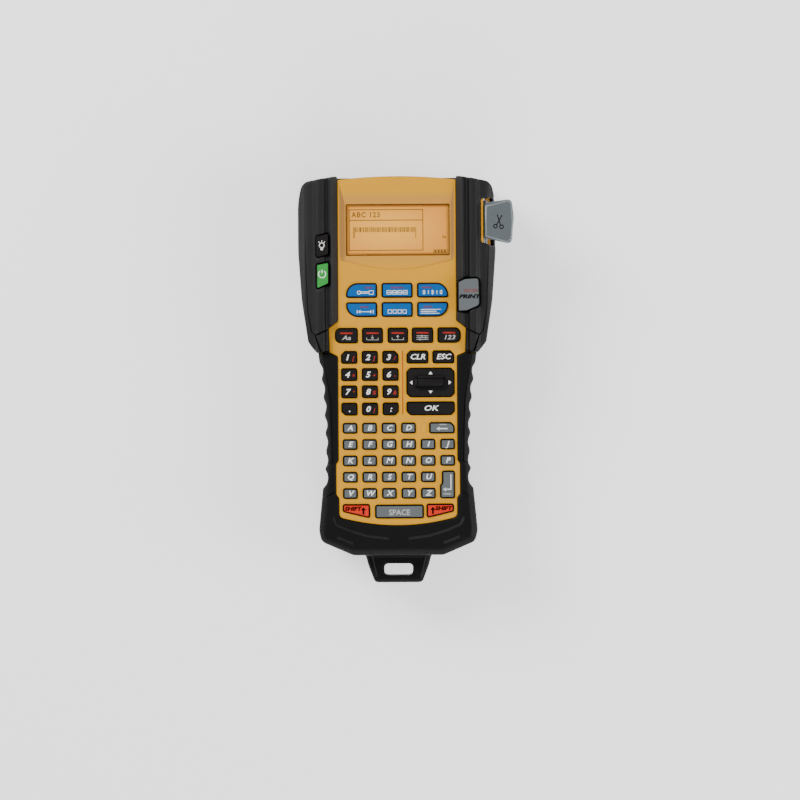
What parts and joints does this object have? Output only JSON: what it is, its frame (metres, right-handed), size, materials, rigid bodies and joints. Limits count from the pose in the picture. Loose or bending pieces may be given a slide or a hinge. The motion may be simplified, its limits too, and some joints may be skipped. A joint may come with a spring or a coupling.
{
  "type": "label maker",
  "caption": "Hand-held industrial label maker: keypad, amber display, rubber grips, side cutter lever, strap tab, hinged cassette and battery doors, feed gears, reels and travelling keys.",
  "frame": {"origin": "on the flat back, in the middle of the waist, where the head's back meets the handle", "axes": "+X to the right of the keypad, +Y along the body to the label exit, +Z out of the keypad"},
  "size_m": [0.1319, 0.2493, 0.0624],
  "materials": {
    "yellow_plastic": "moulded, fine satin texture",
    "dark_plastic": "moulded, fine texture",
    "black_rubber": "soft overmoulding, satin",
    "window": "clear hard-coated pane",
    "display": "backlit amber liquid crystal",
    "blue_key": "silicone, satin",
    "dark_key": "silicone, satin",
    "grey_key": "silicone, satin",
    "red_key": "silicone, satin",
    "green_key": "silicone, satin",
    "mat_rubber": "moulded silicone",
    "board": "glass-fibre board with solder resist",
    "cell": null,
    "contact": "nickel-plated spring steel",
    "cassette_shell": "moulded",
    "reel_white": "label stock on a core",
    "reel_dark": "ribbon on a core",
    "ceramic_head": "thermal head substrate",
    "roller_rubber": "ground rubber",
    "gear_white": "acetal",
    "brass_pinion": "turned",
    "motor_can": "drawn can",
    "lever_grey": "semi-gloss moulding",
    "steel": "hardened and plated"
  },
  "bodies": {
    "casing": {"front_casing": "yellow_plastic", "rear_casing": "dark_plastic", "rubber_boot": "black_rubber", "left_shoulder_grip": "black_rubber", "right_shoulder_grip": "black_rubber", "display_window": "window", "display_module": "display", "status_window": "window", "key_mat": "mat_rubber", "main_board": "board", "battery_cells": "cell", "battery_contacts": "contact", "label_cassette": "cassette_shell", "print_head": "ceramic_head", "drive_motor": "motor_can", "cutter_pin": "steel", "lever_spring": "steel", "casing_screws": "steel"},
    "lever": {"cutter_lever": "lever_grey"},
    "blade": {"cutter_blade": "steel"},
    "cassette_cover": {"cassette_door": "dark_plastic"},
    "battery_cover": {"battery_door": "dark_plastic"},
    "platen": {"platen_roller": "roller_rubber", "platen_gear": "gear_white"},
    "idler": {"idler_gear": "gear_white"},
    "pinion": {"motor_pinion": "brass_pinion"},
    "label_reel": {"label_spool": "reel_white"},
    "ribbon_reel": {"ribbon_spool": "reel_dark"},
    "hot_key_1_body": {"hot_key_1": "blue_key"},
    "hot_key_2_body": {"hot_key_2": "blue_key"},
    "hot_key_3_body": {"hot_key_3": "blue_key"},
    "hot_key_4_body": {"hot_key_4": "blue_key"},
    "hot_key_5_body": {"hot_key_5": "blue_key"},
    "hot_key_6_body": {"hot_key_6": "blue_key"},
    "function_key_1_body": {"function_key_1": "dark_key"},
    "function_key_2_body": {"function_key_2": "dark_key"},
    "function_key_3_body": {"function_key_3": "dark_key"},
    "function_key_4_body": {"function_key_4": "dark_key"},
    "function_key_5_body": {"function_key_5": "dark_key"},
    "number_row_1_body": {"number_row_1": "dark_key"},
    "number_row_2_body": {"number_row_2": "dark_key"},
    "number_row_3_body": {"number_row_3": "dark_key"},
    "number_row_4_body": {"number_row_4": "dark_key"},
    "clear_key_body": {"clear_key": "dark_key"},
    "escape_key_body": {"escape_key": "dark_key"},
    "navigation_pad_body": {"navigation_pad": "dark_key"},
    "ok_key_body": {"ok_key": "dark_key"},
    "letter_row_1_body": {"letter_row_1": "grey_key"},
    "letter_row_2_body": {"letter_row_2": "grey_key"},
    "letter_row_3_body": {"letter_row_3": "grey_key"},
    "letter_row_4_body": {"letter_row_4": "grey_key"},
    "letter_row_5_body": {"letter_row_5": "grey_key"},
    "backspace_key_body": {"backspace_key": "grey_key"},
    "return_key_body": {"return_key": "grey_key"},
    "left_shift_key_body": {"left_shift_key": "red_key"},
    "right_shift_key_body": {"right_shift_key": "red_key"},
    "space_key_body": {"space_key": "grey_key"},
    "backlight_key_body": {"backlight_key": "dark_key"},
    "power_key_body": {"power_key": "green_key"},
    "print_key_body": {"print_key": "grey_key"}
  },
  "joints": [
    {"name": "battery_door_hinge", "type": "hinge", "parent": "casing", "child": "battery_cover", "pos_m": [0, -0.10762, 0.00925], "axis": [-1, 0, 0], "range_deg": [0, 90]},
    {"name": "cassette_door_hinge", "type": "hinge", "parent": "casing", "child": "cassette_cover", "pos_m": [0, 0.014, 0.00125], "axis": [-1, 0, 0], "range_deg": [0, 90]},
    {"name": "cutter_lever_hinge", "type": "hinge", "parent": "casing", "child": "lever", "pos_m": [0.0526, 0.073, 0.05], "axis": [0, 1, 0], "range_deg": [0, 18], "stiffness_Nm_per_rad": 0.12, "springref_deg": -8.59},
    {"name": "cutter_blade_slide", "type": "slide", "parent": "casing", "child": "blade", "axis": [-1, 0, 0], "range_m": [0, 0.00455]},
    {"name": "feed_platen_turn", "type": "hinge", "parent": "casing", "child": "platen", "pos_m": [0.041, 0.073, 0.0357], "axis": [0, 0, 1], "continuous": true},
    {"name": "feed_idler_turn", "type": "hinge", "parent": "casing", "child": "idler", "pos_m": [0.041, 0.0514, 0.0357], "axis": [0, 0, 1], "continuous": true},
    {"name": "feed_pinion_turn", "type": "hinge", "parent": "casing", "child": "pinion", "pos_m": [0.041, 0.0346, 0.0357], "axis": [0, 0, 1], "continuous": true},
    {"name": "feed_label_reel_turn", "type": "hinge", "parent": "casing", "child": "label_reel", "pos_m": [-0.022, 0.053, 0.015], "axis": [0, 0, 1], "continuous": true},
    {"name": "feed_ribbon_reel_turn", "type": "hinge", "parent": "casing", "child": "ribbon_reel", "pos_m": [0.012, 0.066, 0.015], "axis": [0, 0, 1], "continuous": true},
    {"name": "key_hot_1", "type": "slide", "parent": "casing", "child": "hot_key_1_body", "axis": [0, 0, -1], "range_m": [0, 0.0012], "stiffness_N_per_m": 600, "springref_m": -0.0005},
    {"name": "key_hot_2", "type": "slide", "parent": "casing", "child": "hot_key_2_body", "axis": [0, 0, -1], "range_m": [0, 0.0012], "stiffness_N_per_m": 600, "springref_m": -0.0005},
    {"name": "key_hot_3", "type": "slide", "parent": "casing", "child": "hot_key_3_body", "axis": [0, 0, -1], "range_m": [0, 0.0012], "stiffness_N_per_m": 600, "springref_m": -0.0005},
    {"name": "key_hot_4", "type": "slide", "parent": "casing", "child": "hot_key_4_body", "axis": [0, 0, -1], "range_m": [0, 0.0012], "stiffness_N_per_m": 600, "springref_m": -0.0005},
    {"name": "key_hot_5", "type": "slide", "parent": "casing", "child": "hot_key_5_body", "axis": [0, 0, -1], "range_m": [0, 0.0012], "stiffness_N_per_m": 600, "springref_m": -0.0005},
    {"name": "key_hot_6", "type": "slide", "parent": "casing", "child": "hot_key_6_body", "axis": [0, 0, -1], "range_m": [0, 0.0012], "stiffness_N_per_m": 600, "springref_m": -0.0005},
    {"name": "key_function_1", "type": "slide", "parent": "casing", "child": "function_key_1_body", "axis": [0, 0, -1], "range_m": [0, 0.0012], "stiffness_N_per_m": 600, "springref_m": -0.0005},
    {"name": "key_function_2", "type": "slide", "parent": "casing", "child": "function_key_2_body", "axis": [0, 0, -1], "range_m": [0, 0.0012], "stiffness_N_per_m": 600, "springref_m": -0.0005},
    {"name": "key_function_3", "type": "slide", "parent": "casing", "child": "function_key_3_body", "axis": [0, 0, -1], "range_m": [0, 0.0012], "stiffness_N_per_m": 600, "springref_m": -0.0005},
    {"name": "key_function_4", "type": "slide", "parent": "casing", "child": "function_key_4_body", "axis": [0, 0, -1], "range_m": [0, 0.0012], "stiffness_N_per_m": 600, "springref_m": -0.0005},
    {"name": "key_function_5", "type": "slide", "parent": "casing", "child": "function_key_5_body", "axis": [0, 0, -1], "range_m": [0, 0.0012], "stiffness_N_per_m": 600, "springref_m": -0.0005},
    {"name": "key_number_row_1", "type": "slide", "parent": "casing", "child": "number_row_1_body", "axis": [0, 0, -1], "range_m": [0, 0.0012], "stiffness_N_per_m": 600, "springref_m": -0.0005},
    {"name": "key_number_row_2", "type": "slide", "parent": "casing", "child": "number_row_2_body", "axis": [0, 0, -1], "range_m": [0, 0.0012], "stiffness_N_per_m": 600, "springref_m": -0.0005},
    {"name": "key_number_row_3", "type": "slide", "parent": "casing", "child": "number_row_3_body", "axis": [0, 0, -1], "range_m": [0, 0.0012], "stiffness_N_per_m": 600, "springref_m": -0.0005},
    {"name": "key_number_row_4", "type": "slide", "parent": "casing", "child": "number_row_4_body", "axis": [0, 0, -1], "range_m": [0, 0.0012], "stiffness_N_per_m": 600, "springref_m": -0.0005},
    {"name": "key_clear", "type": "slide", "parent": "casing", "child": "clear_key_body", "axis": [0, 0, -1], "range_m": [0, 0.0012], "stiffness_N_per_m": 600, "springref_m": -0.0005},
    {"name": "key_escape", "type": "slide", "parent": "casing", "child": "escape_key_body", "axis": [0, 0, -1], "range_m": [0, 0.0012], "stiffness_N_per_m": 600, "springref_m": -0.0005},
    {"name": "key_navigation_pad", "type": "slide", "parent": "casing", "child": "navigation_pad_body", "axis": [0, 0, -1], "range_m": [0, 0.0012], "stiffness_N_per_m": 600, "springref_m": -0.0005},
    {"name": "key_ok", "type": "slide", "parent": "casing", "child": "ok_key_body", "axis": [0, 0, -1], "range_m": [0, 0.0012], "stiffness_N_per_m": 600, "springref_m": -0.0005},
    {"name": "key_letter_row_1", "type": "slide", "parent": "casing", "child": "letter_row_1_body", "axis": [0, 0, -1], "range_m": [0, 0.0012], "stiffness_N_per_m": 600, "springref_m": -0.0005},
    {"name": "key_letter_row_2", "type": "slide", "parent": "casing", "child": "letter_row_2_body", "axis": [0, 0, -1], "range_m": [0, 0.0012], "stiffness_N_per_m": 600, "springref_m": -0.0005},
    {"name": "key_letter_row_3", "type": "slide", "parent": "casing", "child": "letter_row_3_body", "axis": [0, 0, -1], "range_m": [0, 0.0012], "stiffness_N_per_m": 600, "springref_m": -0.0005},
    {"name": "key_letter_row_4", "type": "slide", "parent": "casing", "child": "letter_row_4_body", "axis": [0, 0, -1], "range_m": [0, 0.0012], "stiffness_N_per_m": 600, "springref_m": -0.0005},
    {"name": "key_letter_row_5", "type": "slide", "parent": "casing", "child": "letter_row_5_body", "axis": [0, 0, -1], "range_m": [0, 0.0012], "stiffness_N_per_m": 600, "springref_m": -0.0005},
    {"name": "key_backspace", "type": "slide", "parent": "casing", "child": "backspace_key_body", "axis": [0, 0, -1], "range_m": [0, 0.0012], "stiffness_N_per_m": 600, "springref_m": -0.0005},
    {"name": "key_return", "type": "slide", "parent": "casing", "child": "return_key_body", "axis": [0, 0, -1], "range_m": [0, 0.0012], "stiffness_N_per_m": 600, "springref_m": -0.0005},
    {"name": "key_left_shift", "type": "slide", "parent": "casing", "child": "left_shift_key_body", "axis": [0, 0, -1], "range_m": [0, 0.0012], "stiffness_N_per_m": 600, "springref_m": -0.0005},
    {"name": "key_right_shift", "type": "slide", "parent": "casing", "child": "right_shift_key_body", "axis": [0, 0, -1], "range_m": [0, 0.0012], "stiffness_N_per_m": 600, "springref_m": -0.0005},
    {"name": "key_space", "type": "slide", "parent": "casing", "child": "space_key_body", "axis": [0, 0, -1], "range_m": [0, 0.0012], "stiffness_N_per_m": 600, "springref_m": -0.0005},
    {"name": "key_backlight", "type": "slide", "parent": "casing", "child": "backlight_key_body", "axis": [0, 0, -1], "range_m": [0, 0.0012], "stiffness_N_per_m": 600, "springref_m": -0.0005},
    {"name": "key_power", "type": "slide", "parent": "casing", "child": "power_key_body", "axis": [0, 0, -1], "range_m": [0, 0.0012], "stiffness_N_per_m": 600, "springref_m": -0.0005},
    {"name": "key_print", "type": "slide", "parent": "casing", "child": "print_key_body", "axis": [0, 0, -1], "range_m": [0, 0.0012], "stiffness_N_per_m": 600, "springref_m": -0.0005}
  ],
  "couplings": [
    {"joint": "cutter_lever_hinge", "follows": "cutter_blade_slide", "rad_per_m": 69},
    {"joint": "feed_idler_turn", "follows": "feed_platen_turn", "ratio": -0.8},
    {"joint": "feed_pinion_turn", "follows": "feed_platen_turn", "ratio": 2},
    {"joint": "feed_label_reel_turn", "follows": "feed_platen_turn", "ratio": -0.21053},
    {"joint": "feed_ribbon_reel_turn", "follows": "feed_platen_turn", "ratio": -0.44444}
  ]
}
